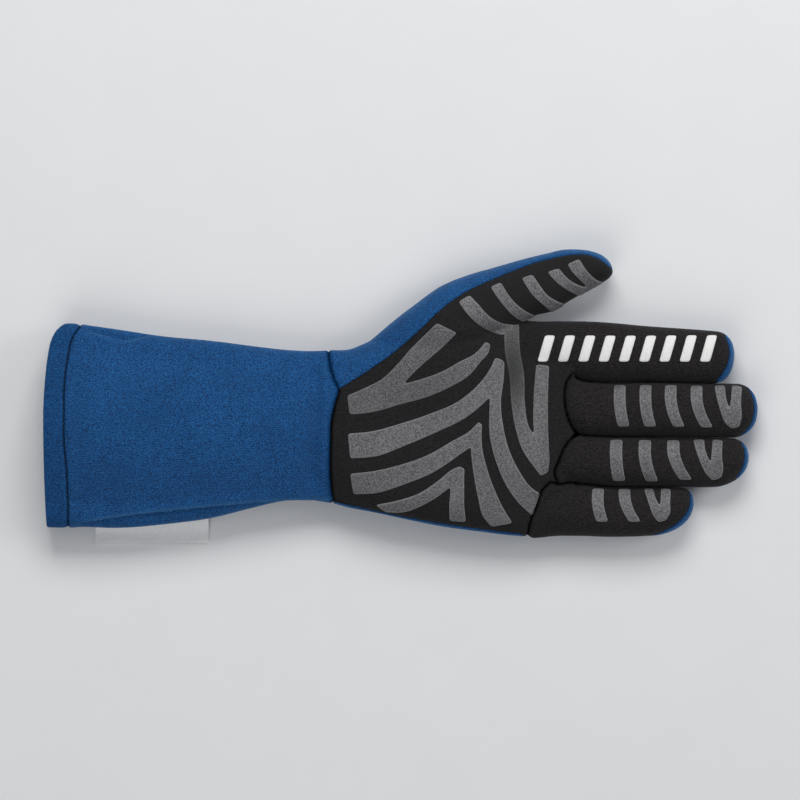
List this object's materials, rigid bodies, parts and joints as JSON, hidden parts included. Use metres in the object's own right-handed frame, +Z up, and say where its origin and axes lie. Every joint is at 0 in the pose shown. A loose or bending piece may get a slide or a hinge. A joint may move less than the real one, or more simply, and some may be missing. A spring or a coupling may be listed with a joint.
{
  "type": "racing glove",
  "caption": "Left-hand racing glove with a long knit gauntlet cuff, a black palm and a raised grip print, lying palm up with the fingers together.",
  "frame": {"origin": "middle of the bounding box in plan, on the surface that the glove's back lies on", "axes": "+X from the cuff's mouth to the fingertips, +Y towards the thumb's side, +Z up through the palm"},
  "size_m": [0.3221, 0.1325, 0.03],
  "materials": {
    "blue_knit": "matte",
    "black_knit": "matte",
    "grip_print": "matte",
    "white_print": "matte",
    "label_weave": "satin"
  },
  "bodies": {
    "root": {"cuff_hem": "blue_knit", "cuff_front": "blue_knit", "cuff_gusset": "blue_knit", "cuff_back": "blue_knit", "back_panel": "blue_knit", "thumb_back": "blue_knit", "palm_panel": "black_knit", "middle_front": "black_knit", "ring_front": "black_knit", "pinky_front": "black_knit", "thumb_front": "black_knit", "side_label": "label_weave", "grip_palm_fork": "grip_print", "grip_palm_large": "grip_print", "grip_palm_middle": "grip_print", "grip_palm_low": "grip_print", "grip_palm_vee": "grip_print", "grip_thumb_1": "grip_print", "grip_thumb_2": "grip_print", "grip_thumb_3": "grip_print", "grip_thumb_tip": "grip_print", "grip_middle_1": "grip_print", "grip_middle_2": "grip_print", "grip_middle_3": "grip_print", "grip_middle_4": "grip_print", "grip_middle_tip": "grip_print", "grip_ring_1": "grip_print", "grip_ring_2": "grip_print", "grip_ring_3": "grip_print", "grip_ring_tip": "grip_print", "grip_pinky_1": "grip_print", "grip_pinky_2": "grip_print", "grip_pinky_tip": "grip_print", "index_bar_1": "white_print", "index_bar_2": "white_print", "index_bar_3": "white_print", "index_bar_4": "white_print", "index_bar_5": "white_print", "index_bar_6": "white_print", "index_bar_7": "white_print", "index_bar_8": "white_print", "index_bar_9": "white_print"}
  },
  "joints": []
}
